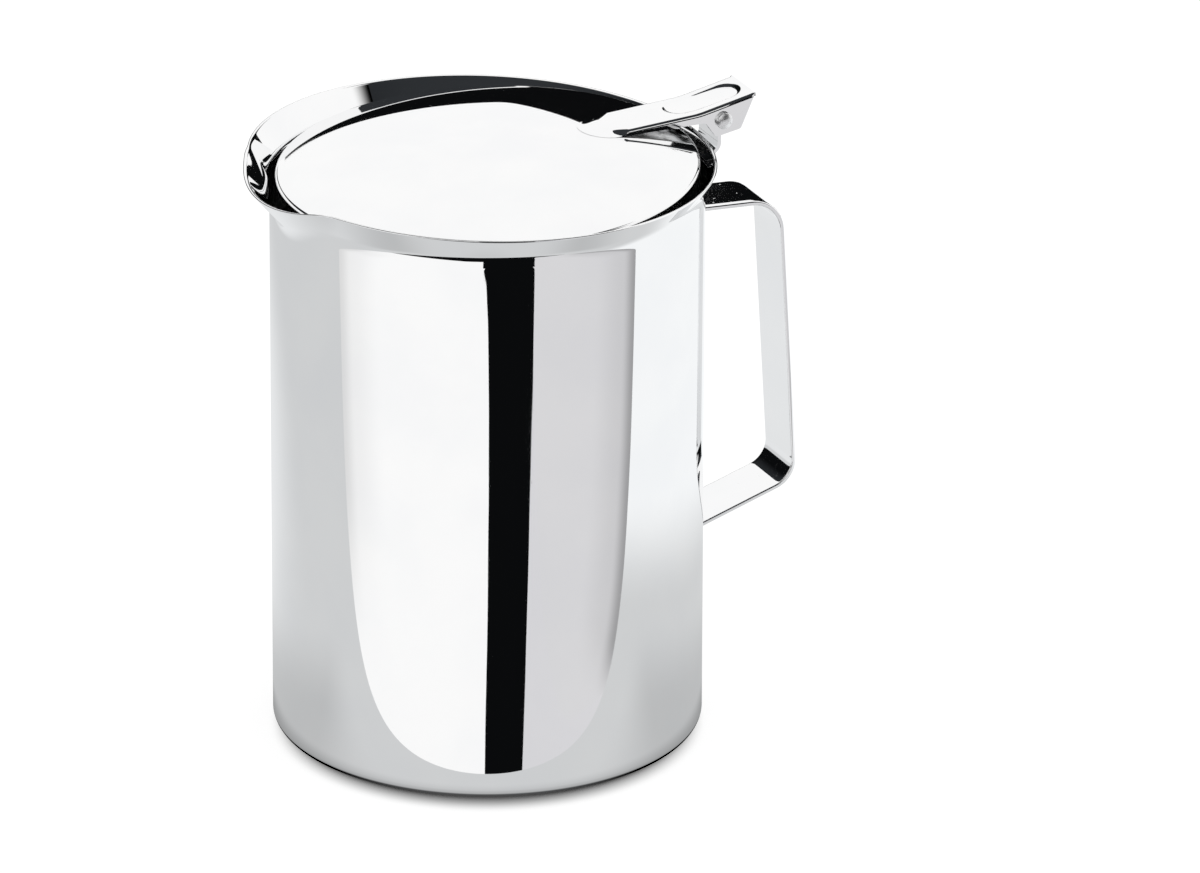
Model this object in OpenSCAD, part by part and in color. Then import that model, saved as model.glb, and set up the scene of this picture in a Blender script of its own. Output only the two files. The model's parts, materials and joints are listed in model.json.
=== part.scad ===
// Polished steel water pitcher with a flared lip, a pressed pouring beak,
// a bent strip handle and a domed lid on a riveted hinge.
// The origin is the centre of the base. The handle points to +X and the beak to -X.

/* [Body] */
// Outside diameter of the straight wall
body_d = 120; // [90:1:150]
// Sheet thickness of the body
wall = 0.8; // [0.6:0.1:1.2]
// Height of the rim plane on the body axis
rim_h = 167.3; // [130:0.1:220]
// Tilt of the rim plane, rising towards the beak, in degrees
rim_tilt = 2.1; // [0:0.1:4]
// Height of the flared lip below the rim plane
flare_h = 13.8; // [10:0.1:16]
// Radius of the arc that flares the lip
flare_r = 22.6; // [20:0.1:30]
// Outside radius of the bottom corner
base_corner = 3; // [2:0.1:5]
// Width of the flat ring that the pitcher stands on
foot_w = 7; // [5:0.5:12]
// Height of the pressed recess inside the standing ring
base_recess = 1.2; // [0.6:0.1:2]

/* [Beak] */
// Reach of the beak's tip beyond the straight wall
beak_reach = 9.3; // [8:0.1:11]
// Drop of the beak's tip below the rim plane
beak_drop = 3.8; // [2:0.1:5]
// Lean of the beak's outer line from the vertical, in degrees
beak_lean = 40; // [35:1:45]
// Radius of the beak's tip, seen from above
beak_r = 33; // [28:0.5:38]

/* [Lid] */
// Gap between the lid's edge and the bore of the straight wall
lid_gap = 0.7; // [0.4:0.1:1.5]
// Depth of the lid's edge below the rim plane, on the body axis
lid_drop = 2.8; // [2:0.1:5]
// Tilt of the lid, rising towards the handle, in degrees
lid_tilt = 1.9; // [0:0.1:3]
// Rise of the dome above the lid's edge
dome_rise = 6; // [4:0.1:8]
// Sheet thickness of the lid
lid_sheet = 0.8; // [0.6:0.1:1.2]
// Radius of the rolled bead round the lid's edge
bead_r = 0.9; // [0.8:0.1:1.4]

/* [Hinge] */
// Distance of the hinge pin beyond the straight wall
pin_out = 8.5; // [8:0.1:11]
// Height of the hinge pin above the rim plane, on the body axis
pin_up = 1.7; // [1:0.1:4]
// Diameter of the hinge pin
pin_d = 3; // [2.5:0.1:3.4]
// Diameter of the rivet heads on the pin
head_d = 4.8; // [4.2:0.1:5.6]
// Height of the rivet heads
head_h = 1.5; // [1.2:0.1:2]
// Height of the rivet heads at their edge
head_edge = 0.9; // [0.5:0.1:1.1]
// Radial clearance of the pin in its holes
pin_clear = 0.05; // [0.02:0.01:0.1]
// Thickness of the bracket's strip
bracket_sheet = 1; // [0.8:0.1:1.2]
// Clearance between the bracket and each ear of the lid arm
ear_clear = 0.5; // [0.3:0.1:0.8]
// Clearance between the bracket's stop and the closed lid arm
stop_clear = 0.35; // [0.2:0.05:0.5]
// Length of the stop tab beyond the pin axis
stop_l = 5.5; // [4.5:0.5:6.5]
// Height of the bracket's foot on the wall
bracket_foot = 6; // [5:0.5:9]
// Bend radius of the bracket's strip
bracket_bend = 2.5; // [1.5:0.1:3]

/* [Lid arm] */
// Width over the two flanges
arm_w = 15; // [13:0.5:18]
// Sheet thickness of the arm
arm_sheet = 1; // [0.8:0.1:1.2]
// Length from the pin axis to the tip of the nose on the dome
arm_nose = 40.5; // [34:0.5:46]
// Length from the pin axis to the thumb end
arm_tail = 10.5; // [9:0.1:13]
// Rise of the thumb end, in degrees
arm_rise = 11.5; // [8:0.5:15]
// Distance of the arm's bend from the pin axis, towards the nose
arm_bend = 7; // [5:0.5:10]
// Radius of the arm's bend
arm_bend_r = 25; // [10:1:40]
// Thickness of the arm at the tip of its nose
nose_lip = 0.4; // [0.3:0.05:0.8]
// Depth of the ear below the pin axis, at its front corner
ear_drop = 4.6; // [4:0.1:5]
// Distance of the ear's front corner from the pin axis, towards the nose
ear_front = 2.3; // [1.5:0.1:3]
// Distance of the ear's neck from the pin axis, towards the nose
ear_neck = 5.5; // [5:0.1:6.5]
// Distance of the ear's back corner from the pin axis
ear_back = 5.9; // [5:0.1:7]
// Rounding of the ear's corners
ear_corner = 1.2; // [0.6:0.1:1.6]
// Length of the oval thumb dimple
dimple_l = 24.5; // [18:0.5:26]
// Width of the oval thumb dimple
dimple_w = 10; // [8:0.5:11]
// Depth of the oval thumb dimple
dimple_h = 0.6; // [0.4:0.1:0.8]
// Distance of the dimple from the thumb end
dimple_gap = 0.9; // [0.5:0.1:2]

/* [Handle] */
// Width of the handle's strip
handle_w = 17; // [14:0.5:22]
// Thickness of the handle's strip
handle_sheet = 1.3; // [1:0.1:2]
// Gap between the bracket's foot and the handle's upper end
handle_gap = 2.9; // [1:0.1:10]
// Height between the handle's two ends, from its top face to its bottom face
handle_span = 97.3; // [85:0.1:110]
// Fall of the upper run away from the body, in degrees
upper_fall = 3.2; // [0:0.1:8]
// Fall of the lower run towards the body, in degrees
lower_fall = 17.7; // [10:0.1:25]
// Reach of the upper outer corner beyond the wall
upper_reach = 26.6; // [24:0.1:36]
// Reach of the lower outer corner beyond the wall
lower_reach = 31.9; // [26:0.1:40]
// Outer bend radius at the upper corner
upper_bend = 10.5; // [6:0.5:14]
// Outer bend radius at the lower corner
lower_bend = 8.5; // [6:0.5:14]

/* [Hidden] */
$fn = 96;
steel = [0.78, 0.79, 0.81];
// Gap left at welded seats that follow a curved face
seam = 0.05;
// Overlap that fuses two pieces of one part
lap = 0.2;
// Extra thickness of a strip's bends, on each face
swell = 0.03;
// Reach of cutting shapes past what they cut
over = 40;

// Body and beak
body_r = body_d / 2;
bore_r = body_r - wall;
flare_z = rim_h - flare_h;
rim_slope = tan(rim_tilt);
foot_r = body_r - base_corner - foot_w;
recess_shift = wall * tan(22.5);
tip_x = body_r + beak_reach;
tip_z = rim_h + rim_slope * tip_x - beak_drop;
beak_x = tip_x - beak_r;
beak_slope = tan(beak_lean);
beak_root_z = tip_z - beak_reach / beak_slope - wall;

// Lid: the dome is part of a sphere, leaning with the lid
lid_r = bore_r - lid_gap;
lid_z = rim_h - lid_drop;
dome_base_r = lid_r - bead_r;
dome_r = (pow(dome_base_r, 2) + pow(dome_rise, 2)) / (2 * dome_rise);
dome_x = (dome_r - dome_rise) * sin(lid_tilt);
dome_z = lid_z - (dome_r - dome_rise) * cos(lid_tilt);
// Height of the dome's outer face at a distance x along the handle direction
function dome_top(x) = dome_z + sqrt(pow(dome_r, 2) - pow(x - dome_x, 2));

// Hinge: pin, eye, stop, pressed dimple and arm are stacked on each other
pin_x = body_r + pin_out;
pin_z = rim_h + pin_up;
pin_hole_r = pin_d / 2 + pin_clear;
eye_r = pin_hole_r + bracket_sheet;
arm_over_pin = (eye_r + stop_clear + dimple_h + arm_sheet) / cos(arm_rise);
bracket_w = arm_w - 2 * arm_sheet - 2 * ear_clear;
bracket_x = pin_x - bracket_sheet;
bracket_path = [
    [body_r, flare_z - bracket_foot],
    [body_r, flare_z],
    [bracket_x, flare_z + bracket_x - body_r],
    [bracket_x, pin_z - pin_hole_r - bracket_sheet / 2]
];

// Lid arm: its top face runs from the nose on the dome over a bend to the thumb end
nose_x = pin_x - arm_nose;
bend_x = pin_x - arm_bend;
tail_x = pin_x + arm_tail;
tail_z = pin_z + arm_over_pin + arm_tail * tan(arm_rise);
nose_z = dome_top(nose_x) + nose_lip;
bend_z = pin_z + arm_over_pin - arm_bend * tan(arm_rise);
nose_slope = (bend_z - nose_z) / (bend_x - nose_x);
nose_r = arm_w / 2;
arm_path = [
    [nose_x - nose_r, nose_z - nose_r * nose_slope],
    [bend_x, bend_z],
    [tail_x, tail_z]
];
dimple_x = tail_x - dimple_gap - dimple_l / 2;
dimple_wall = 0.75 * dimple_gap;

// Side view of a flange: along the dome, round the ear, and back in the middle of the web
flange_x = nose_x + nose_r + arm_sheet;
mid_web = [0, -arm_sheet / 2];
ear_outline = [
    [flange_x, dome_top(flange_x)],
    [pin_x - ear_neck, pin_z],
    [pin_x - ear_front, pin_z - ear_drop],
    [pin_x + ear_back, pin_z - ear_drop + (ear_front + ear_back) * tan(arm_rise)],
    [tail_x, tail_z] + mid_web,
    [bend_x, bend_z] + mid_web,
    [flange_x, nose_z + (flange_x - nose_x) * nose_slope] + mid_web
];
ear_rounding = [0, ear_corner, ear_corner, ear_corner, 0, 0, 0];

// Handle
handle_top = flare_z - bracket_foot - handle_gap;
handle_bottom = handle_top - handle_span;
handle_path = [
    [0, handle_top + body_r * tan(upper_fall)],
    [body_r + upper_reach, handle_top - upper_reach * tan(upper_fall)],
    [body_r + lower_reach, handle_bottom + lower_reach * tan(lower_fall)],
    [0, handle_bottom - body_r * tan(lower_fall)]
];

// Unit vector, heading, turn and tangent length at corner i of a path
function run(p, i) = (p[i + 1] - p[i]) / norm(p[i + 1] - p[i]);
function heading(p, i) = atan2(run(p, i).y, run(p, i).x);
function wrap(a) = a - 360 * floor((a + 180) / 360);
function turn(p, i) = wrap(heading(p, i) - heading(p, i - 1));
function setback(p, r, i) = (i == 0 || i == len(p) - 1) ? 0 : r[i - 1] * tan(abs(turn(p, i)) / 2);

// An outline with each corner rounded to its own radius
function rounded(p, r) = [
    for (i = [0 : len(p) - 1])
        each corner_arc(p[(i + len(p) - 1) % len(p)], p[i], p[(i + 1) % len(p)], r[i])
];
function corner_arc(a, b, c, r) =
    let (u = (a - b) / norm(a - b), v = (c - b) / norm(c - b), half = acos(u * v) / 2)
    let (middle = b + (u + v) / norm(u + v) * r / sin(half))
    let (from = b + u * r / tan(half) - middle, to = b + v * r / tan(half) - middle)
    r == 0 ? [b] : [
        for (k = [0 : 0.125 : 1])
            middle + r * (from * (1 - k) + to * k) / norm(from * (1 - k) + to * k)
    ];

// Side view of a strip bent along a path: straight runs joined by round bends.
// The path lies on one face, and the thickness is laid to its right.
module bent_strip(p, r, thick) {
    for (i = [0 : len(p) - 2]) {
        start = p[i] + run(p, i) * setback(p, r, i);
        long = norm(p[i + 1] - p[i]) - setback(p, r, i) - setback(p, r, i + 1);
        translate(start) rotate(heading(p, i)) translate([0, -thick]) square([long, thick]);
    }
    for (i = [1 : len(p) - 2]) strip_bend(p, r[i - 1], thick, i, setback(p, r, i));
}

// One round bend of a strip, as a sector of a ring.
// It is a hair thicker than the runs and reaches over their ends, so that they fuse.
module strip_bend(p, r, thick, i, back) {
    side = sign(turn(p, i));
    centre = p[i] - run(p, i - 1) * back + side * r * [-run(p, i - 1).y, run(p, i - 1).x];
    inner = side > 0 ? r : r - thick;
    reach = side * atan(lap / inner);
    from = heading(p, i - 1) - side * 90 - reach;
    span = turn(p, i) + 2 * reach;
    far = 2 * (inner + thick);
    translate(centre) intersection() {
        difference() {
            circle(inner + thick + swell);
            circle(inner - swell);
        }
        polygon([
            [0, 0],
            far * [cos(from), sin(from)],
            far * [cos(from + span / 2), sin(from + span / 2)],
            far * [cos(from + span), sin(from + span)]
        ]);
    }
}

// Stand a side view up in the XZ plane, centred on Y
module upright(width) {
    rotate([90, 0, 0]) translate([0, 0, -width / 2]) linear_extrude(width) children();
}

// Half section of the body's outside, or of its bore when inset by the wall
module body_section(inset) {
    r = body_r - inset;
    corner = base_corner - inset;
    translate([0, inset]) square([r - corner, corner]);
    translate([0, base_corner]) square([r, flare_z - base_corner]);
    translate([r - corner, base_corner]) circle(corner);
    difference() {
        translate([0, flare_z]) square([body_r + flare_r, flare_h + beak_reach]);
        translate([body_r + flare_r, flare_z]) circle(flare_r + inset);
    }
}

// The shallow cone pressed up into the bottom, inside the standing ring
module base_cone(r) {
    cylinder(h = base_recess, r1 = r, r2 = r - base_recess);
}

// The beak's cone, from its root in the wall to above the rim
module beak_cone(inset) {
    rise = tip_z - beak_root_z + beak_drop + beak_reach;
    root_r = beak_r - (tip_z - beak_root_z) * beak_slope - inset / cos(beak_lean);
    top_r = root_r + rise * beak_slope;
    translate([-beak_x, 0, beak_root_z]) cylinder(h = rise, r1 = root_r, r2 = top_r);
}

// Distance from the axis at which the beak's creases meet the rim plane
function crease_x() =
    let (z = rim_h + rim_slope * body_r)
    let (lip = body_r + flare_r - sqrt(pow(flare_r, 2) - pow(z - flare_z, 2)))
    let (cone = beak_r + (z - tip_z) * beak_slope)
    (pow(lip, 2) + pow(beak_x, 2) - pow(cone, 2)) / (2 * beak_x);

// A thick plate that stands on the XY plane and is wider than the body
module slab() {
    translate([-body_d, -body_d, 0]) cube([2 * body_d, 2 * body_d, over]);
}

// Everything above the rim plane, and above the plane that drops to the beak's tip
module above_rim() {
    crease_z = rim_h + rim_slope * crease_x();
    dip = atan((crease_z - tip_z) / (tip_x - crease_x()));
    translate([0, 0, rim_h]) rotate([0, rim_tilt, 0]) slab();
    translate([-crease_x(), 0, crease_z]) rotate([0, -dip, 0]) slab();
}

module body() color(steel) difference() {
    union() {
        rotate_extrude() body_section(0);
        beak_cone(0);
    }
    difference() {
        rotate_extrude() body_section(wall);
        translate([0, 0, wall]) base_cone(foot_r + recess_shift);
    }
    beak_cone(wall);
    base_cone(foot_r);
    above_rim();
}

module handle() color(steel) difference() {
    upright(handle_w) bent_strip(handle_path, [upper_bend, lower_bend], handle_sheet);
    cylinder(h = rim_h, r = body_r + seam);
}

// Strip welded under the flare, with an eye for the pin and a tab that stops the closing lid
module hinge_bracket() color(steel) difference() {
    upright(bracket_w) {
        bent_strip(bracket_path, [bracket_bend, bracket_bend], bracket_sheet);
        translate([pin_x, pin_z]) circle(eye_r);
        translate([pin_x, pin_z]) rotate(arm_rise) stop_tab();
    }
    along_pin(bracket_w + over) circle(pin_hole_r);
    cylinder(h = rim_h, r = body_r + seam);
}

// The stop tab on top of the eye, with the pin axis at the origin
module stop_tab() {
    translate([-stop_l, eye_r - bracket_sheet - lap]) square([stop_l, bracket_sheet]);
}

// Extrude a round section along the pin axis, centred on Y
module along_pin(length) {
    upright(length) translate([pin_x, pin_z]) children();
}

module hinge_pin() color(steel) {
    along_pin(arm_w + 2 * lap) circle(pin_d / 2);
    for (side = [-1, 1]) {
        translate([pin_x, side * arm_w / 2, pin_z]) rotate([-side * 90, 0, 0]) rivet_head();
    }
}

// Low rivet head with a domed face, standing on Z = 0
module rivet_head() {
    cap_h = head_h - head_edge;
    cap_r = (pow(head_d / 2, 2) + pow(cap_h, 2)) / (2 * cap_h);
    intersection() {
        translate([0, 0, head_h - cap_r]) sphere(cap_r);
        cylinder(h = 2 * head_h, r = head_d / 2);
    }
}

module lid() color(steel) translate([0, 0, lid_z]) rotate([0, -lid_tilt, 0]) {
    intersection() {
        translate([0, 0, dome_rise - dome_r]) difference() {
            sphere(dome_r);
            sphere(dome_r - lid_sheet);
        }
        translate([0, 0, -over / 2]) cylinder(h = over, r = dome_base_r);
    }
    rotate_extrude() translate([dome_base_r, -bead_r]) circle(bead_r);
}

// Pressed channel that carries the lid: a web with a thumb dimple, and a flange with an ear on each side
module lid_arm() color(steel) difference() {
    intersection() {
        union() {
            arm_web(arm_sheet);
            intersection() {
                dimple(dimple_w + 2 * dimple_wall, dimple_l + 2 * dimple_wall);
                translate([0, 0, -arm_sheet / 2]) arm_web(arm_sheet / 2 + dimple_h);
            }
            flanges();
        }
        arm_plan();
    }
    intersection() {
        dimple(dimple_w, dimple_l);
        translate([0, 0, over]) arm_web(over + dimple_h);
    }
    along_pin(arm_w + over) circle(pin_hole_r);
    translate([dome_x, 0, dome_z]) sphere(dome_r + seam);
}

// The arm's web from its top face down, wider than the arm
module arm_web(thick) {
    upright(arm_w + 2 * arm_sheet) bent_strip(arm_path, [arm_bend_r], thick);
}

// Both flanges with their ears, wider than the arm, with the channel between them cut out
module flanges() {
    difference() {
        upright(arm_w + arm_sheet) polygon(rounded(ear_outline, ear_rounding));
        upright(arm_w - 2 * arm_sheet) translate([nose_x, 0]) square([arm_nose + over, 2 * rim_h]);
    }
}

// The arm seen from above, with its round nose
module arm_plan() {
    linear_extrude(2 * rim_h) {
        translate([nose_x + nose_r, 0]) circle(nose_r);
        translate([nose_x + nose_r, -nose_r]) square([arm_nose + over, arm_w]);
    }
}

// Upright prism over an oval
module dimple(w, l) {
    translate([dimple_x, 0, 0]) linear_extrude(2 * rim_h) {
        square([l - w, w], center = true);
        for (side = [-1, 1]) translate([side * (l - w) / 2, 0]) circle(w / 2);
    }
}

body();
handle();
hinge_bracket();
hinge_pin();
lid();
lid_arm();
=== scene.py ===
"""Looks of a polished steel water pitcher with a hinged lid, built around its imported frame."""

import json
import math

import bmesh
import bpy
import numpy as np
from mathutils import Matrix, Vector


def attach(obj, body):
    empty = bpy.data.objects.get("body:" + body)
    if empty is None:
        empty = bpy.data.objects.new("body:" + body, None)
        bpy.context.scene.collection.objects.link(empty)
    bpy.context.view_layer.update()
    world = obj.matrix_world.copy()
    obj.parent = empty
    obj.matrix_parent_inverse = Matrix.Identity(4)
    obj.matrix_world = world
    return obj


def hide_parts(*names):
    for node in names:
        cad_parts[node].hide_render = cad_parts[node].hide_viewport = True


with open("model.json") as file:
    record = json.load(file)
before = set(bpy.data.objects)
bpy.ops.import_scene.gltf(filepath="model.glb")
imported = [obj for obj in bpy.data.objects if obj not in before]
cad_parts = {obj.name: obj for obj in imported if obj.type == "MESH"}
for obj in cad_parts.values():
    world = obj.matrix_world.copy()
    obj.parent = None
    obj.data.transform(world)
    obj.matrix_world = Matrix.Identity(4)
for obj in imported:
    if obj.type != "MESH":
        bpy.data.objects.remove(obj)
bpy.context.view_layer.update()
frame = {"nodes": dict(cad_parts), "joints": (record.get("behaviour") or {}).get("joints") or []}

# Sizes are in millimetres, as in the part's source, and turn into metres where meshes and nodes are made
MM = 0.001

# Points closer than WELD, in metres, become one, and edges bent by more than SHARP_EDGE stay sharp
WELD = 1e-6
SHARP_EDGE = math.radians(38)

# Direction of a profile's upper side, in degrees
UPRIGHT = 90

# Gap between pieces that sit on each other
SEAT = 0.05

# Body: a straight wall that bends into a cone, cut by a slanted rim
BODY_R = 60.0
WALL = 0.8
RIM_H = 167.3
RIM_SLOPE = math.tan(math.radians(2.1))
RIM_ROUND = 0.34
FLARE_Z = 157.7
FLARE_R = 8.0
FLARE_TILT = math.radians(33)
FLARE_AXIS = BODY_R + FLARE_R
STRAIGHT_TOP = 147.0
BASE_CORNER = 3.0
FOOT_R = 50.0
FOOT_CORNER = 0.4
RECESS = 1.2
STEP_R = 50.33
STEP_CORNER = 0.6
BODY_STEP = 4.0

# Beak: a cone pressed out of the flare, where the rim dips from the creases to the tip
BEAK_TIP = 69.3
BEAK_TIP_Z = 166.04
BEAK_R = 33.0
BEAK_AXIS = BEAK_TIP - BEAK_R
BEAK_TILT = math.radians(40)
BEAK_BLEND = 2.4
CREASE_X = 61.56
CREASE_Z = 169.56
DIP_SLOPE = (CREASE_Z - BEAK_TIP_Z) / (BEAK_TIP - CREASE_X)
DIP_BLEND = 0.7

# Lid: a dome with a round bead on its edge. BEAD_SKIP and SHEET_SKIP are small turns between its arcs.
LID_Z = 164.5
LID_TILT = math.radians(1.9)
LID_SHEET = 0.8
DOME_R = 279.48
DOME_RISE = 6.0
DOME_EDGE = 57.6
BEAD_R = 0.9
BEAD_SKIP = 6
BEAD_END = -185
SHEET_SKIP = 0.2

# Lid arm: a channel with a round nose on the dome, flanges with ears for the pin, and a raised tail
ARM_HALF = 7.5
ARM_SHEET = 1.0
ARM_NOSE = (28.0, 170.41)
ARM_BEND = (61.5, 172.17)
ARM_TAIL = (78.25, 175.58)
ARM_BEND_R = 25.0
ARM_EDGE_R = 1.3
ARM_EDGE_SHARE = 0.8
ARM_LEAST = 0.02
NOSE_BLEND = 4.5
FLANGE_START = 36.5
NOSE_END = FLANGE_START - 1
FLANGE_FULL = FLANGE_START + 3
EAR_NECK = (63.0, 169.0)
EAR_FRONT = (66.2, 164.4)
EAR_BACK = (73.8, 165.7)
EAR_CORNER = 1.2

# Thumb dimple in the arm, deeper towards the tail by a power of the way along it
DIMPLE_X = 65.2
DIMPLE_L = 23.2
DIMPLE_W = 10.0
DIMPLE_WALL = 1.0
DIMPLE_FRONT_DEPTH = 0.35
DIMPLE_BACK_DEPTH = 1.05
DIMPLE_POWER = 3

# Hinge pin, on the joint's own axis. HEAD_SKIP is the turn by which its dome stops before the edge.
PIN_X = frame["joints"][0]["pos_m"][0] / MM
PIN_Z = frame["joints"][0]["pos_m"][2] / MM
PIN_R = 1.5
HEAD_R = 2.4
HEAD_H = 1.5
HEAD_EDGE = 0.9
HEAD_CORNER = 0.3
HEAD_FOOT_CORNER = 0.05
HEAD_SKIP = 3

# Handle, along its outer face. HANDLE_INSIDE is a point in the loop, for telling in from out.
HANDLE_W = 17.0
HANDLE_SHEET = 1.3
HANDLE_CORNER = 0.4
HANDLE_SEAT = BODY_R + SEAT
HANDLE_PATH = [(0.0, 147.95), (86.6, 143.11), (91.9, 57.48), (0.0, 28.15)]
HANDLE_BENDS = [10.5, 8.5]
HANDLE_INSIDE = (75.0, 100.0)


# Shapes

def rounded(corners, radii, steps=10):
    """The polyline through the corners, with each inner corner rounded by its radius."""
    corners = [np.array(corner, float) for corner in corners]
    path = [corners[0]]
    for before, corner, after, radius in zip(corners, corners[1:], corners[2:], radii):
        back = (before - corner) / np.linalg.norm(before - corner)
        ahead = (after - corner) / np.linalg.norm(after - corner)
        half = math.acos(np.clip(back @ ahead, -1, 1)) / 2
        middle = (back + ahead) / np.linalg.norm(back + ahead)
        centre = corner + middle * radius / math.sin(half)
        start = corner + back * radius / math.tan(half) - centre
        end = corner + ahead * radius / math.tan(half) - centre
        sweep = math.atan2(start[0] * end[1] - start[1] * end[0], start @ end)
        for turn in np.linspace(0, sweep, steps + 1):
            cos, sin = math.cos(turn), math.sin(turn)
            path.append(centre + [cos * start[0] - sin * start[1], sin * start[0] + cos * start[1]])
    path.append(corners[-1])
    return np.array(path)


def spaced(path, step):
    """The same polyline, with no stretch longer than step."""
    dense = [path[0]]
    for here, there in zip(path, path[1:]):
        count = max(1, math.ceil(np.linalg.norm(there - here) / step))
        dense += [here + (there - here) * k / count for k in range(1, count + 1)]
    return np.array(dense)


def arc(centre, radius, start, end, steps):
    """Points on an arc in the profile's plane, with its angles in degrees."""
    turn = np.radians(np.linspace(start, end, steps + 1))
    return np.column_stack([centre[0] + radius * np.cos(turn), centre[1] + radius * np.sin(turn)])


def spun(profile, steps):
    """A profile of radius and height turned round its axis: two grids of sides and one of heights."""
    turn = np.linspace(0, 2 * math.pi, steps, endpoint=False)[:, None]
    radius, height = profile.T
    side = radius * np.cos(turn)
    return side, radius * np.sin(turn), np.broadcast_to(height, side.shape)


def smooth_step(share):
    """From 0 to 1, with a gentle start and end."""
    return share * share * (3 - 2 * share)


def grid_faces(rows, cols, wrap_rows=False, wrap_cols=False):
    """Quads of a grid of points that is stored row by row."""
    faces = []
    for row in range(rows if wrap_rows else rows - 1):
        here = row * cols
        ahead = (row + 1) % rows * cols
        for col in range(cols if wrap_cols else cols - 1):
            after = (col + 1) % cols
            faces.append((here + col, here + after, ahead + after, ahead + col))
    return faces


def make_piece(name, points, faces, material, body, node):
    """A closed mesh that rides on a body and stands for a node of the frame."""
    mesh = bpy.data.meshes.new(name)
    mesh.from_pydata((np.asarray(points, float).reshape(-1, 3) * MM).tolist(), [], faces)
    shape = bmesh.new()
    shape.from_mesh(mesh)
    bmesh.ops.remove_doubles(shape, verts=shape.verts, dist=WELD)
    bmesh.ops.dissolve_degenerate(shape, edges=shape.edges, dist=WELD)
    bmesh.ops.recalc_face_normals(shape, faces=shape.faces)
    shape.to_mesh(mesh)
    shape.free()
    mesh.shade_smooth()
    mesh.set_sharp_from_angle(angle=SHARP_EDGE)
    mesh.materials.append(material)
    piece = bpy.data.objects.new(name, mesh)
    bpy.context.scene.collection.objects.link(piece)
    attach(piece, body)
    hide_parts(node)


# Body

def smooth_max(a, b, blend):
    """The larger value, with the crease between the two rounded."""
    near = np.maximum(blend - np.abs(a - b), 0) / blend
    return np.maximum(a, b) + near * near * blend / 4


def flare_radius(z, inset):
    """Radius of the wall, which bends at its top into a straight cone."""
    bend = FLARE_R + inset
    lift = np.clip(z - FLARE_Z, 0, bend * math.sin(FLARE_TILT))
    cone = np.maximum(z - FLARE_Z - lift, 0)
    return FLARE_AXIS - np.sqrt(bend ** 2 - lift ** 2) + cone * math.tan(FLARE_TILT)


def wall_radius(angle, z, inset):
    """Radius of the body's wall, with its flare and beak, at an angle and a height."""
    flare = flare_radius(z, inset)
    beak_r = BEAK_R - (BEAK_TIP_Z - z) * math.tan(BEAK_TILT) - inset / math.cos(BEAK_TILT)
    middle = -BEAK_AXIS * np.cos(angle)
    inside = middle ** 2 - BEAK_AXIS ** 2 + beak_r ** 2
    beak = np.where((inside > 0) & (beak_r > 0), middle + np.sqrt(np.maximum(inside, 0)), 0)
    return smooth_max(flare, beak, BEAK_BLEND)


def rim_height(angle, rounds=30):
    """Height of the rim: a slanted plane that dips to the beak's tip, found round by round."""
    z = np.full_like(angle, RIM_H)
    for _ in range(rounds):
        x = wall_radius(angle, z, 0) * np.cos(angle)
        rim = RIM_H - RIM_SLOPE * x
        dip = CREASE_Z + DIP_SLOPE * (x + CREASE_X)
        z = -smooth_max(-rim, -dip, DIP_BLEND)
    return z


def body_points(steps=480, beak_crowding=0.55, lift_rows=72, rim_rows=8):
    """Rows of points round the body, each along the inside, over the rim and down the outside."""
    even = np.linspace(-math.pi, math.pi, steps, endpoint=False)
    angle = even + beak_crowding * np.sin(even)
    edge = rim_height(angle) - RIM_ROUND
    bore_r = BODY_R - WALL
    floor_z = RECESS + WALL
    inner = [(0, floor_z), (STEP_R - RECESS, floor_z), (STEP_R, WALL), (bore_r, WALL)]
    inner += [(bore_r, STRAIGHT_TOP)]
    outer = [(BODY_R, STRAIGHT_TOP), (BODY_R, 0), (FOOT_R, 0), (FOOT_R - RECESS, RECESS), (0, RECESS)]
    inner = rounded(inner, [STEP_CORNER, STEP_CORNER, BASE_CORNER - WALL])
    outer = rounded(outer, [BASE_CORNER, FOOT_CORNER, STEP_CORNER])
    lifts = [
        STRAIGHT_TOP + (edge - STRAIGHT_TOP) * share
        for share in np.linspace(0, 1, lift_rows)[1:]
    ]

    def rings(profile):
        """Radius and height of plain rings through the points of a profile."""
        return [(np.full_like(angle, r), np.full_like(angle, z)) for r, z in spaced(profile, BODY_STEP)]

    columns = rings(inner)
    columns += [(wall_radius(angle, z, WALL), z) for z in lifts]
    for turn in np.linspace(math.pi, 0, rim_rows + 2)[1:-1]:
        z = edge + RIM_ROUND * math.sin(turn)
        outside = wall_radius(angle, z, 0)
        inside = wall_radius(angle, z, WALL)
        columns.append(((outside + inside) / 2 + (outside - inside) / 2 * math.cos(turn), z))
    columns += [(wall_radius(angle, z, 0), z) for z in reversed(lifts)]
    columns += rings(outer)
    points = [np.column_stack([r * np.cos(angle), r * np.sin(angle), z]) for r, z in columns]
    return np.stack(points, axis=1)


def build_body(material):
    points = body_points()
    faces = grid_faces(points.shape[0], points.shape[1], wrap_rows=True)
    make_piece("pitcher_body", points, faces, material, "pitcher", "body")


# Lid

def lid_profile(top_steps=40, bead_steps=36, under_steps=30):
    """Radius and height along the dome, round the bead and back under the sheet."""
    centre = (0, DOME_RISE - DOME_R)
    edge = UPRIGHT - math.degrees(math.asin(DOME_EDGE / DOME_R))
    top = arc(centre, DOME_R, UPRIGHT, edge, top_steps)
    bead = arc((DOME_EDGE, -BEAD_R), BEAD_R, edge - BEAD_SKIP, BEAD_END, bead_steps)
    under = arc(centre, DOME_R - LID_SHEET, edge + SHEET_SKIP, UPRIGHT, under_steps)
    return np.vstack([top, bead, under])


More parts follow.
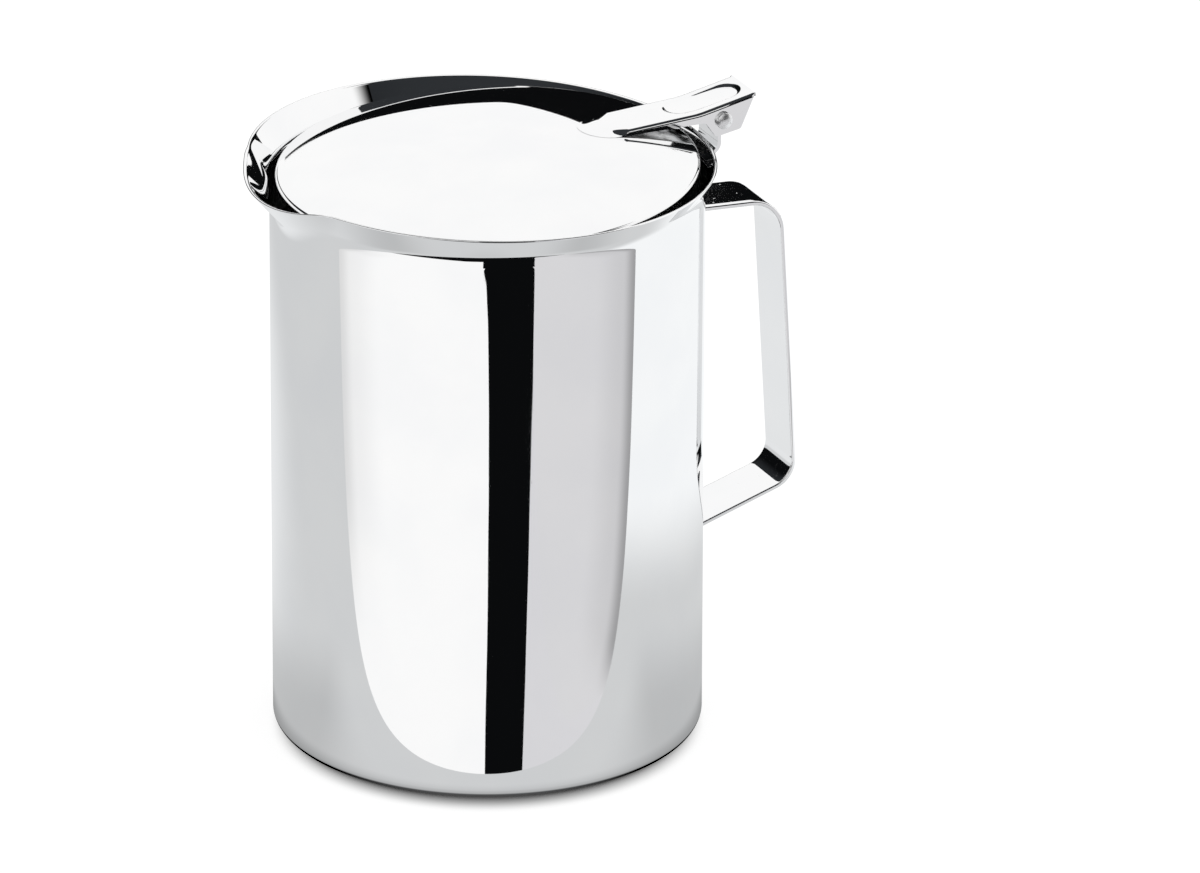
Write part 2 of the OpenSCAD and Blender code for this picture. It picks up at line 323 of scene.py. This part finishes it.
def build_lid(material, steps=360):
    x, y, z = spun(lid_profile(), steps)
    cos, sin = math.cos(LID_TILT), math.sin(LID_TILT)
    points = np.stack([x * cos - z * sin, y, x * sin + z * cos + LID_Z], axis=2)
    faces = grid_faces(points.shape[0], points.shape[1], wrap_rows=True)
    make_piece("pitcher_lid", points, faces, material, "lid", "lid")


# Lid arm

def dome_height(x, y):
    """Height of the lid's dome in the frame."""
    drop = DOME_R - DOME_RISE
    centre_x = drop * math.sin(LID_TILT)
    centre_z = LID_Z - drop * math.cos(LID_TILT)
    return centre_z + np.sqrt(DOME_R ** 2 - (x - centre_x) ** 2 - y ** 2)


def web_height(x, bend_steps=24):
    """Height of the arm's top face along its spine."""
    path = rounded([ARM_NOSE, ARM_BEND, ARM_TAIL], [ARM_BEND_R], bend_steps)
    return np.interp(x, path[:, 0], path[:, 1])


def flange_bottom(x, y):
    """Height of the arm's lower edge: on the dome round the nose, then round the ear to the tail."""
    start = (FLANGE_START, dome_height(FLANGE_START, ARM_HALF) + SEAT)
    path = rounded([start, EAR_NECK, EAR_FRONT, EAR_BACK, ARM_TAIL], [EAR_CORNER] * 3)
    flange = np.interp(x, path[:, 0], path[:, 1])
    low = np.where(x < FLANGE_START, dome_height(x, y) + SEAT, flange)
    return np.minimum(low, web_height(x) - ARM_LEAST)


def dimple_drop(x, y):
    """How far the thumb dimple is pressed in, deeper towards the tail."""
    half = (DIMPLE_L - DIMPLE_W) / 2
    inside = DIMPLE_W / 2 - np.hypot(np.maximum(np.abs(x - DIMPLE_X) - half, 0), y)
    way = np.clip((x - DIMPLE_X) / DIMPLE_L + 0.5, 0, 1)
    depth = DIMPLE_FRONT_DEPTH + (DIMPLE_BACK_DEPTH - DIMPLE_FRONT_DEPTH) * way ** DIMPLE_POWER
    return depth * smooth_step(np.clip(inside / DIMPLE_WALL, 0, 1))


def arm_outline(step=0.25, nose_steps=64):
    """Plan points from the tail round the nose and back, with the direction inwards."""
    centre = ARM_NOSE[0] + ARM_HALF
    side = np.linspace(ARM_TAIL[0], centre, math.ceil((ARM_TAIL[0] - centre) / step) + 1)
    near = np.column_stack([side, np.full_like(side, -ARM_HALF)])
    nose = arc((centre, 0), ARM_HALF, -UPRIGHT, -3 * UPRIGHT, nose_steps)[1:-1]
    far = np.column_stack([side[::-1], np.full_like(side, ARM_HALF)])
    outline = np.vstack([near, nose, far])
    spine = np.column_stack([np.maximum(outline[:, 0], centre), np.zeros(len(outline))])
    return outline, (spine - outline) / ARM_HALF


def arm_skins(wall_rows=16, edge_rows=12, web_rows=27):
    """Points of the arm's outer and inner face, in columns from the lower edge up to the spine."""
    outline, inwards = arm_outline()
    x, y = outline.T
    top = web_height(x)
    low = flange_bottom(x, y)
    edge_r = np.minimum(ARM_EDGE_R, ARM_EDGE_SHARE * (top - low))
    nose = np.interp(x, [NOSE_END, FLANGE_FULL], [1.0, 0.0])
    edge_w = edge_r + (NOSE_BLEND - edge_r) * nose
    outer = []
    inner = []

    def inset(depth):
        return outline + inwards * depth[:, None]

    def add(depth, z, turn):
        """One column of points on the outer face, and the same moved in by the sheet."""
        outer.append(np.column_stack([inset(depth), z]))
        turn = turn + (math.pi / 2 - turn) * nose
        place = inset(depth + ARM_SHEET * np.cos(turn))
        under = z - ARM_SHEET * np.sin(turn)
        rest = dome_height(place[:, 0], place[:, 1]) + SEAT
        inner.append(np.column_stack([place, np.maximum(under, np.minimum(rest, z - ARM_LEAST))]))

    for share in np.linspace(0, 1, wall_rows + 1):
        add(np.zeros_like(x), low + (top - edge_r - low) * share * (1 - nose), 0)
    for share in np.linspace(0, 1, edge_rows + 1)[1:]:
        turn = math.pi / 2 * share
        depth = edge_r * (1 - math.cos(turn)) * (1 - nose) + NOSE_BLEND * share * nose
        bend = top - edge_r * (1 - math.sin(turn))
        ramp = low + (web_height(inset(depth)[:, 0]) - low) * smooth_step(share)
        add(depth, bend * (1 - nose) + ramp * nose, turn)
    for share in np.linspace(0, 1, web_rows + 1)[1:]:
        depth = edge_w + (ARM_HALF - edge_w) * share
        place_x, place_y = inset(depth).T
        add(depth, web_height(place_x) - dimple_drop(place_x, place_y), math.pi / 2)
    return np.stack(outer, axis=1), np.stack(inner, axis=1)


def build_lid_arm(material):
    outer, inner = arm_skins()
    rows, cols = outer.shape[:2]
    count = rows * cols

    def closing(line):
        """Faces between the outer and the inner skin along a line of points."""
        return [(a, b, count + b, count + a) for a, b in zip(line, line[1:])]

    top = grid_faces(rows, cols)
    under = [tuple(count + k for k in reversed(face)) for face in top]
    lower_edge = closing(range(0, count, cols))
    tail_edges = closing(range(cols)) + closing(range(count - cols, count))
    points = np.concatenate([outer.reshape(-1, 3), inner.reshape(-1, 3)])
    faces = top + under + lower_edge + tail_edges
    make_piece("pitcher_lid_arm", points, faces, material, "lid", "lid_arm")


# Hinge pin

def build_pin(material, steps=72, dome_steps=10):
    """A rivet along Y: a shank with a low domed head at each end."""
    dome_h = HEAD_H - HEAD_EDGE
    dome_r = (HEAD_R ** 2 + dome_h ** 2) / (2 * dome_h)
    edge = UPRIGHT - math.degrees(math.asin(HEAD_R / dome_r))
    dome = arc((0, ARM_HALF + HEAD_H - dome_r), dome_r, UPRIGHT, edge + HEAD_SKIP, dome_steps)
    rim = [dome[-1], (HEAD_R, ARM_HALF + HEAD_EDGE), (HEAD_R, ARM_HALF), (PIN_R, ARM_HALF)]
    half = np.vstack([dome, rounded(rim, [HEAD_CORNER, HEAD_FOOT_CORNER])[1:]])
    profile = np.vstack([half, half[::-1] * [1, -1]])
    x, z, y = spun(profile, steps)
    points = np.stack([PIN_X + x, y, PIN_Z + z], axis=2)
    faces = grid_faces(points.shape[0], points.shape[1], wrap_rows=True)
    make_piece("pitcher_hinge_pin", points, faces, material, "lid", "hinge_pin")


# Handle

def handle_section(corner_steps=5, step=1.5):
    """Round-cornered section of the strip: place across it and depth from the outer face."""
    half = HANDLE_W / 2
    middle = (0, 0)
    corners = [middle, (half, 0), (half, HANDLE_SHEET), (-half, HANDLE_SHEET), (-half, 0), middle]
    return spaced(rounded(corners, [HANDLE_CORNER] * 4, corner_steps), step)[:-1]


def inwards_at(place, direction):
    """Unit vector across the handle's path that points into its loop."""
    side = np.array([-direction[1], direction[0]])
    return side if side @ (np.array(HANDLE_INSIDE) - place) > 0 else -side


def build_handle(material, bend_steps=28, step=3, end_rows=24):
    across, depth = handle_section().T
    path = rounded(HANDLE_PATH, HANDLE_BENDS, bend_steps)
    wall_x = np.sqrt(HANDLE_SEAT ** 2 - across ** 2)

    def end_run(start, end):
        """Rows of a straight run, from its end at the wall, cut to the wall's curve."""
        direction = (end - start) / np.linalg.norm(end - start)
        base = end[:, None] + inwards_at(end, direction)[:, None] * depth
        reach = (wall_x - base[0]) / direction[0]
        places = [base + direction[:, None] * reach * share for share in np.linspace(1, 0, end_rows + 1)]
        return [np.column_stack([place[0], across, place[1]]) for place in places]

    rows = end_run(path[0], path[1])
    middle = spaced(path[1:-1], step)
    for before, here, after in zip(middle, middle[1:], middle[2:]):
        direction = (after - before) / np.linalg.norm(after - before)
        place = here[:, None] + inwards_at(here, direction)[:, None] * depth
        rows.append(np.column_stack([place[0], across, place[1]]))
    rows += reversed(end_run(path[-1], path[-2]))
    points = np.stack(rows)
    count = points.shape[1]
    last = (points.shape[0] - 1) * count
    faces = grid_faces(points.shape[0], count, wrap_cols=True)
    faces += [tuple(range(count)), tuple(range(last, last + count))]
    make_piece("pitcher_handle", points, faces, material, "pitcher", "handle")


# Nodes of materials

def add_node(tree, kind, inputs=None, **settings):
    """A new node with its settings. inputs gives a value or a socket for each named or numbered input."""
    made = tree.nodes.new(kind)
    for name, setting in settings.items():
        setattr(made, name, setting)
    for key, source in (inputs or {}).items():
        if isinstance(source, bpy.types.NodeSocket):
            tree.links.new(source, made.inputs[key])
        else:
            made.inputs[key].default_value = source
    return made


def object_place(tree):
    """Socket for a point's place in its object, which is its place in the frame at rest."""
    return add_node(tree, "ShaderNodeTexCoord").outputs["Object"]


def height_of(tree, vector):
    return add_node(tree, "ShaderNodeSeparateXYZ", {0: vector}).outputs["Z"]


def math_node(tree, operation, first, second):
    return add_node(tree, "ShaderNodeMath", {0: first, 1: second}, operation=operation).outputs[0]


def map_range(tree, source, span, tones):
    """Socket that turns smoothly from the first tone to the second as the source crosses the span."""
    ends = {"From Min": span[0], "From Max": span[1], "To Min": tones[0], "To Max": tones[1]}
    made = add_node(tree, "ShaderNodeMapRange", {"Value": source, **ends}, interpolation_type="SMOOTHSTEP")
    return made.outputs["Result"]


def fade(tree, place, ramp):
    """Socket for a tone by a place. The ramp is a span in millimetres and the tones at its ends."""
    span, tones = ramp
    return map_range(tree, place, [end * MM for end in span], tones)


def noise(tree, vector, scale, detail=1):
    inputs = {"Vector": vector, "Scale": scale, "Detail": detail}
    return add_node(tree, "ShaderNodeTexNoise", inputs).outputs["Fac"]


def stretched(tree, vector, scale):
    return add_node(tree, "ShaderNodeMapping", {"Vector": vector, "Scale": scale}).outputs["Vector"]


# Steel

LIGHT_STEEL = (0.955, 0.955, 0.955)
SHADE_STEEL = (0.925, 0.928, 0.935)
LIGHT_RIVET = (0.86, 0.86, 0.865)
SHADE_RIVET = (0.8, 0.8, 0.81)

# Scales of the noises, per metre, and the stretch of the scratches
SMUDGE_SCALE = 38
WAVE_SCALE = 28
SPECK_SCALE = 600
SCRATCH_STRETCH = (900, 140, 420)

# The part of each noise over which its mark comes in
SMUDGE_TONE = (0.3, 0.7)
SMUDGE_HAZE = (0.35, 0.75)
LINES_SHOWN = (0.45, 0.8)
SCRATCHES_SHOWN = (0.7, 0.78)
SPECKS_SHOWN = (0.68, 0.76)

# Extra roughness of the sides that aren't polished, and where it ends
SATIN = 0.3
SATIN_WALL = ((BODY_R - 0.6, BODY_R - 0.3), (SATIN, 0))
SATIN_TOP = ((140, 150), (1, 0))
SATIN_SLOPES = (-0.7, -0.3)


def satin_inside(tree):
    """Extra roughness on the body's inside, well below the flare."""
    place = object_place(tree)
    flat = add_node(tree, "ShaderNodeVectorMath", {0: place, 1: (1, 1, 0)}, operation="MULTIPLY")
    radius = add_node(tree, "ShaderNodeVectorMath", {0: flat.outputs["Vector"]}, operation="LENGTH")
    inside = fade(tree, radius.outputs["Value"], SATIN_WALL)
    return math_node(tree, "MULTIPLY", inside, fade(tree, height_of(tree, place), SATIN_TOP))


def satin_under(tree):
    """Extra roughness where the sheet faces down when the lid is shut."""
    normal = add_node(tree, "ShaderNodeTexCoord").outputs["Normal"]
    return map_range(tree, height_of(tree, normal), SATIN_SLOPES, (SATIN, 0))


def steel(name, light, shade, polish, grain, wave, satin=None, specks=0):
    """Polished steel: faint polish lines, smudges, micro-scratches and a slightly wavy sheet.

    polish is the lowest and highest roughness, grain the stretch of the polish lines
    and wave the bump's height in millimetres. satin makes a socket for the extra roughness
    of the sides that aren't polished. specks is the extra roughness of small spots of dust.
    """
    material = bpy.data.materials.new(name)
    material.use_nodes = True
    tree = material.node_tree
    place = object_place(tree)
    smudge = noise(tree, place, SMUDGE_SCALE, detail=4)
    lines = noise(tree, stretched(tree, place, grain), 1, detail=2)
    scratch = noise(tree, stretched(tree, place, SCRATCH_STRETCH), 1)
    mix = {"A": (*shade, 1), "B": (*light, 1), "Factor": map_range(tree, smudge, SMUDGE_TONE, (0, 1))}
    tone = add_node(tree, "ShaderNodeMix", mix, data_type="RGBA")
    marks = [map_range(tree, lines, LINES_SHOWN, (0, polish[0]))]
    marks += [map_range(tree, scratch, SCRATCHES_SHOWN, (0, polish[1]))]
    if satin:
        marks += [satin(tree)]
    if specks:
        marks += [map_range(tree, noise(tree, place, SPECK_SCALE), SPECKS_SHOWN, (0, specks))]
    rough = map_range(tree, smudge, SMUDGE_HAZE, polish)
    for mark in marks:
        rough = math_node(tree, "ADD", rough, mark)
    waves = {"Strength": 1, "Distance": wave * MM, "Height": noise(tree, place, WAVE_SCALE)}
    bump = add_node(tree, "ShaderNodeBump", waves)
    shader = tree.nodes["Principled BSDF"]
    shader.inputs["Metallic"].default_value = 1.0
    tree.links.new(tone.outputs["Result"], shader.inputs["Base Color"])
    tree.links.new(rough, shader.inputs["Roughness"])
    tree.links.new(bump.outputs["Normal"], shader.inputs["Normal"])
    return material


# Camera, as fitted to the photograph. Its places are in metres and its sensor in millimetres.

PHOTO_SIZE = (1200, 873)
CAMERA_TURN = math.radians(-25)
CAMERA_RISE = math.radians(23.08)
CAMERA_FAR = 3.307
CAMERA_REACH = 50
FOCAL_PIXELS = 11920
SENSOR = 36.0
TARGET = Vector((0, 0, 0.080))
TARGET_PIXEL = (487.4, 448.0)
CAMERA_RIGHT = Vector((math.cos(CAMERA_TURN), math.sin(CAMERA_TURN), 0))
CAMERA_FRONT = Vector((math.sin(CAMERA_TURN), -math.cos(CAMERA_TURN), 0))


def build_camera():
    """A camera that looks at the target and is shifted so that the target falls on its pixel."""
    back = CAMERA_FRONT * math.cos(CAMERA_RISE) + Vector((0, 0, math.sin(CAMERA_RISE)))
    data = bpy.data.cameras.new("camera")
    data.sensor_width = SENSOR
    data.lens = FOCAL_PIXELS * SENSOR / PHOTO_SIZE[0]
    data.shift_x = (PHOTO_SIZE[0] / 2 - TARGET_PIXEL[0]) / PHOTO_SIZE[0]
    data.shift_y = (TARGET_PIXEL[1] - PHOTO_SIZE[1] / 2) / PHOTO_SIZE[0]
    data.clip_end = CAMERA_REACH
    camera = bpy.data.objects.new("camera", data)
    camera.location = TARGET + back * CAMERA_FAR
    camera.rotation_mode = "QUATERNION"
    camera.rotation_quaternion = (-back).to_track_quat("-Z", "Y")
    bpy.context.scene.collection.objects.link(camera)
    bpy.context.scene.camera = camera


# Stage. Its places are given as right and front, seen from the camera, and height.

WHITE = (1, 1, 1)


def rectangle(low, high):
    return [low, (high[0], low[1]), high, (low[0], high[1])]


def lying(outline, height):
    """Corners of a lying piece, from its outline in right and front."""
    return [(right, front, height) for right, front in outline]


def facing(outline, front):
    """Corners of an upright piece across the camera's view, from its outline in right and height."""
    return [(right, front, height) for right, height in outline]


def beside(outline, right):
    """Corners of an upright piece along the camera's view, from its outline in front and height."""
    return [(right, front, height) for front, height in outline]


def staged(name, corners, material):
    """A flat piece of the stage."""
    points = []
    for right, front, height in corners:
        points.append((CAMERA_RIGHT * right + CAMERA_FRONT * front + Vector((0, 0, height))) * MM)
    mesh = bpy.data.meshes.new(name)
    mesh.from_pydata([tuple(point) for point in points], [], [tuple(range(len(points)))])
    mesh.materials.append(material)
    made = bpy.data.objects.new(name, mesh)
    bpy.context.scene.collection.objects.link(made)
    return made


def along(tree, direction):
    """Socket for how far a point of the stage lies in a direction from the pitcher's axis."""
    inputs = {0: object_place(tree), 1: tuple(direction)}
    return add_node(tree, "ShaderNodeVectorMath", inputs, operation="DOT_PRODUCT").outputs["Value"]


def distance(tree, right, front):
    """Socket for a point's distance from a place on the ground."""
    centre = (CAMERA_RIGHT * right + CAMERA_FRONT * front) * MM
    inputs = {0: object_place(tree), 1: tuple(centre)}
    return add_node(tree, "ShaderNodeVectorMath", inputs, operation="DISTANCE").outputs["Value"]


def bare_material(name):
    """A material with nothing but its output, and the output's surface."""
    material = bpy.data.materials.new(name)
    material.use_nodes = True
    nodes = material.node_tree.nodes
    nodes.remove(nodes["Principled BSDF"])
    return material, nodes["Material Output"].inputs["Surface"]


def card(name, corners, colour, level=None):
    """A card with its own light, which shows only as a reflection in the steel.

    level makes a socket for the light's strength from the material's nodes.
    """
    material, surface = bare_material(name)
    tree = material.node_tree
    inputs = {"Color": (*colour, 1), "Strength": level(tree) if level else 1.0}
    light = add_node(tree, "ShaderNodeEmission", inputs)
    tree.links.new(light.outputs["Emission"], surface)
    made = staged(name, corners, material)
    made.visible_camera = False
    made.visible_diffuse = False
    made.visible_shadow = False
    made.visible_transmission = False
    made.visible_volume_scatter = False


# Floor and room

FLOOR_HALF = 8000
FLOOR_GREY = (0.25, 0.25, 0.25)
# The shadow round the base is painted: the floor's glow dims by SHADOW_FADE round a centre SHADOW_FRONT in
# front of the axis
SHADOW_FRONT = 6.8
SHADOW_FADE = ((51.5, 61.2), (0.04, 0.82))
ROOM_RISES = (20, 45)
ROOM_LEVELS = (0.004, 0.035)
ROOM_TINT = (0.82, 0.90, 1.0)


def build_floor():
    """A pale floor with a soft shadow round the base, a little wider in front, which is painted into its
    glow; its grey diffuse part takes real shade as well.
    """
    material, surface = bare_material("floor")
    tree = material.node_tree
    # Painted shadow: the glow is dimmed round the pitcher's foot
    shadow = fade(tree, distance(tree, 0, SHADOW_FRONT), SHADOW_FADE)
    light = add_node(tree, "ShaderNodeEmission", {"Strength": shadow})
    diffuse = add_node(tree, "ShaderNodeBsdfDiffuse", {"Color": (*FLOOR_GREY, 1)})
    shaders = {0: light.outputs["Emission"], 1: diffuse.outputs["BSDF"]}
    both = add_node(tree, "ShaderNodeAddShader", shaders)
    tree.links.new(both.outputs["Shader"], surface)
    outline = rectangle((-FLOOR_HALF, -FLOOR_HALF), (FLOOR_HALF, FLOOR_HALF))
    floor = staged("floor", lying(outline, 0), material)
    floor.visible_glossy = False


def build_world():
    """White for the camera and the floor; for the steel, a dark room, a little lighter overhead."""
    world = bpy.data.worlds.new("studio")
    bpy.context.scene.world = world
    world.use_nodes = True
    tree = world.node_tree
    mirrored = add_node(tree, "ShaderNodeLightPath").outputs["Is Glossy Ray"]
    direction = add_node(tree, "ShaderNodeTexCoord").outputs["Generated"]
    rises = [math.sin(math.radians(rise)) for rise in ROOM_RISES]
    room = map_range(tree, height_of(tree, direction), rises, ROOM_LEVELS)
    levels = {"Factor": mirrored, "A": 1.0, "B": room}
    tints = {"Factor": mirrored, "A": (*WHITE, 1), "B": (*ROOM_TINT, 1)}
    level = add_node(tree, "ShaderNodeMix", levels, data_type="FLOAT")
    tint = add_node(tree, "ShaderNodeMix", tints, data_type="RGBA")
    shine = tree.nodes["Background"]
    tree.links.new(tint.outputs["Result"], shine.inputs["Color"])
    tree.links.new(level.outputs["Result"], shine.inputs["Strength"])


# Table that the steel mirrors, with two sheets beyond its edge. It lies just under the floor.

CARD_Z = -0.2
WIDE = 2500
TABLE_EDGE = 78
TABLE_BACK = -720
TABLE_TINT = (0.975, 0.99, 1.0)
SHEETS_END = 600
RIGHT_SHEET_TINT = (0.985, 0.98, 1.0)

# Ramps of the table's tones, by a point's distance from the axis, from a place AHEAD_FRONT of it
# or from BEHIND, and by how far the point lies to the front or right. They are painted light and shade:
# the pitcher's shadow round its foot and close to it, and lighter parts behind it and far out on the
# right.
CONTACT_SHADOW = ((60, 70), (0.46, 0.66))
CONTACT_SHADOW_LINE = ((59.6, 61.3), (0.15, 1))
AHEAD_FRONT = 35
NEAR_SHADE = ((85, 145), (0.13, 0))
SHADE_FRONT = ((30, 62), (1, 0))
FAR_LIGHT = ((155, 240), (0, 0.32))
LIGHT_RIGHT = ((-20, 80), (0, 1))
BEHIND = (-70, -190)
BACK_LIGHT = ((50, 210), (0.17, 0))

# Tones of the sheets at the table's edge, a little beyond it and in full, and where they set in.
# The darker tones at the edge are painted shade along the table's edge.
LEFT_TONES = (0.74, 0.9, 1.0)
LEFT_REACH = (110, 260)
RIGHT_TONES = (0.36, 0.63, 0.72)
RIGHT_REACH = (80, 130)
EDGE_SLANTS = (0, 0.14)
FULL_SLANTS = (0.1, 0.5)


def table_level(tree):
    """Grey, with the pitcher's shadow painted dark close to it, and painted light behind it and far out on
    the right.
    """
    far = distance(tree, 0, 0)
    ahead = distance(tree, 0, AHEAD_FRONT)
    # Painted shadow: a dark ring round the pitcher's foot, darkest in a line right at it
    contact_shadow = math_node(tree, "MULTIPLY", fade(tree, far, CONTACT_SHADOW), fade(tree, far, CONTACT_SHADOW_LINE))
    # Painted shade close to the pitcher, and painted light far out on the right and behind it
    front = fade(tree, along(tree, CAMERA_FRONT), SHADE_FRONT)
    shade = math_node(tree, "MULTIPLY", fade(tree, ahead, NEAR_SHADE), front)
    right = fade(tree, along(tree, CAMERA_RIGHT), LIGHT_RIGHT)
    bright = math_node(tree, "MULTIPLY", fade(tree, ahead, FAR_LIGHT), right)
    ground = math_node(tree, "SUBTRACT", contact_shadow, shade)
    light = math_node(tree, "ADD", ground, bright)
    return math_node(tree, "ADD", light, fade(tree, distance(tree, *BEHIND), BACK_LIGHT))


def sheet_level(tones, reach):
    """Level of a sheet: its full tone, but far out it starts from the edge's darker tone at the table,
    which is painted shade.
    """
    edge, middle, full = tones

    def level(tree):
        out = math_node(tree, "ABSOLUTE", along(tree, CAMERA_RIGHT), 0)
        beyond = math_node(tree, "SUBTRACT", along(tree, CAMERA_FRONT), TABLE_EDGE * MM)
        slant = math_node(tree, "DIVIDE", beyond, out)
        # Painted shade: far out, the sheet darkens towards the table's edge
        first = map_range(tree, slant, EDGE_SLANTS, (full - edge, full - middle))
        second = map_range(tree, slant, FULL_SLANTS, (0, middle - full))
        edge_shade = math_node(tree, "ADD", first, second)
        edge_shade = math_node(tree, "MULTIPLY", edge_shade, fade(tree, out, (reach, (0, 1))))
        return math_node(tree, "SUBTRACT", full, edge_shade)

    return level


def build_table():
    """The table and its two sheets, which leave a dark gap between them."""
    table = rectangle((-WIDE, TABLE_BACK), (WIDE, TABLE_EDGE))
    left = [(-WIDE, TABLE_EDGE), (-121, TABLE_EDGE), (-30, 146), (-6, 150), (-9, 238), (-15, 400)]
    left += [(-17, 450), (-17, SHEETS_END), (-WIDE, SHEETS_END)]
    right = [(90, TABLE_EDGE), (56, 92), (56, 100), (67, 134), (79, 171), (96, 217), (120, 277)]
    right += [(156, 364), (176, 412), (300, SHEETS_END), (WIDE, SHEETS_END), (WIDE, TABLE_EDGE)]
    card("table_card", lying(table, CARD_Z), TABLE_TINT, table_level)
    card("left_sheet", lying(left, CARD_Z), WHITE, sheet_level(LEFT_TONES, LEFT_REACH))
    card("right_sheet", lying(right, CARD_Z), RIGHT_SHEET_TINT, sheet_level(RIGHT_TONES, RIGHT_REACH))


# Panels far in front. Two small dark cards, which are painted shade, shape the upper end of the dark gap
# between them.

PANEL_FRONT = 1500
PANEL_GREY = (0.71, 0.705, 0.725)
GAP_FRONT = 150
CORNER_FRONT = 80
GAP_SHADE = (0.0033, 0.0036, 0.004)


def build_panels():
    """A white panel on the left, a grey one on the right and the dark gap's upper end, of painted shade.
    """
    white = [(-5200, -2320), (-60, -706), (-24, -629), (1, -584), (17, -531), (19, -505), (13, -457)]
    white += [(-15, -437), (-58, -430), (-5200, -400)]
    grey = [(470, -706), (854, -790), (1237, -895), (1745, -1070), (3500, -1750), (3500, -470)]
    grey += [(684, -470), (680, -491), (655, -537), (608, -583), (542, -654)]
    gap = [(1.4, 88), (53.4, 88), (55.2, 122), (-4.7, 122), (-1.2, 117), (0.2, 112)]
    corner = [(-0.9, 146.8), (2, 146.8), (2, 149.6), (-1.75, 149.6)]
    card("white_panel", facing(white, PANEL_FRONT), WHITE)
    card("grey_panel", facing(grey, PANEL_FRONT), PANEL_GREY)
    # Painted shade: dark cards at the upper end of the gap
    card("gap_shade_card", facing(gap, GAP_FRONT), GAP_SHADE)
    card("gap_shade_corner", facing(corner, CORNER_FRONT), GAP_SHADE)


# White cards above, at the right and by the hinge, and dim walls in front and on the left

OVERHEAD_Z = 668
OVERHEAD_FRONT = -100
OVERHEAD_LEFT = -335
TIP_RIGHT = -35
TIP_HALF = 315
TIP_START = -1800
TIP_REACH = 1800
RIGHT_CARD = 700
RIGHT_FADE = ((110, 240), (1, 0))
FRONT_WALL = 1600
LEFT_WALL = -1500
WALL_FADE = ((450, 1300), (0.85, 0.4))


def right_level(tree):
    """The right card ends softly towards the camera."""
    return fade(tree, along(tree, CAMERA_FRONT), RIGHT_FADE)


def wall_level(tree):
    """The walls fade towards the ceiling."""
    return fade(tree, height_of(tree, object_place(tree)), WALL_FADE)


def overhead_outline(tip_steps=18):
    """Plan of the card above: a long sheet that narrows to a tip far behind."""
    left = []
    for turn in np.radians(np.linspace(0, UPRIGHT, tip_steps + 1)):
        left.append((TIP_RIGHT - TIP_HALF * math.cos(turn), TIP_START - TIP_REACH * math.sin(turn)))
    right = [(-12, -3530), (10, -3320), (30, -3030), (54, -2680), (80, -2300), (102, -2000), (120, -1750)]
    step = [(125, -1600), (155, -1440), (280, -1340), (450, -1290), (520, OVERHEAD_FRONT)]
    return [(OVERHEAD_LEFT, OVERHEAD_FRONT)] + left + right + step


def build_room():
    """The cards and walls round the pitcher."""
    hinge = [(72, 33, 186), (101, 16, 186), (101, 16, 201), (72, 33, 201)]
    right = rectangle((-1100, 60), (250, 900))
    front = rectangle((-1500, 60), (900, 1300))
    left = rectangle((-400, -50), (1600, 480))
    card("hinge_card", hinge, WHITE)
    card("overhead_card", lying(overhead_outline(), OVERHEAD_Z), WHITE)
    card("right_card", beside(right, RIGHT_CARD), WHITE, right_level)
    card("front_wall", facing(front, FRONT_WALL), WHITE, wall_level)
    card("left_wall", beside(left, LEFT_WALL), WHITE, wall_level)


# The whole scene

scene = bpy.context.scene
scene.view_settings.view_transform = "Standard"

body_steel = steel(
    "body_steel", LIGHT_STEEL, SHADE_STEEL,
    polish=(0.012, 0.035), grain=(60, 60, 5200), wave=0.04, satin=satin_inside,
)
lid_steel = steel(
    "lid_steel", LIGHT_STEEL, SHADE_STEEL,
    polish=(0.012, 0.035), grain=(2600, 60, 60), wave=0.02, satin=satin_under,
)
handle_steel = steel(
    "handle_steel", LIGHT_STEEL, SHADE_STEEL,
    polish=(0.015, 0.04), grain=(60, 5200, 60), wave=0.02, specks=0.16,
)
hinge_steel = steel(
    "hinge_steel", LIGHT_STEEL, SHADE_STEEL,
    polish=(0.02, 0.05), grain=(60, 4200, 60), wave=0.02, satin=satin_under,
)
rivet_steel = steel(
    "rivet_steel", LIGHT_RIVET, SHADE_RIVET,
    polish=(0.2, 0.3), grain=(3200, 60, 3200), wave=0.01,
)

build_body(body_steel)
build_lid(lid_steel)
build_lid_arm(hinge_steel)
build_pin(rivet_steel)
build_handle(handle_steel)

# The bracket keeps its own shape from the frame and only gets its steel
bracket = frame["nodes"]["hinge_bracket"]
bracket.data.materials.clear()
bracket.data.materials.append(hinge_steel)

build_camera()
build_floor()
build_world()
build_table()
build_panels()
build_room()
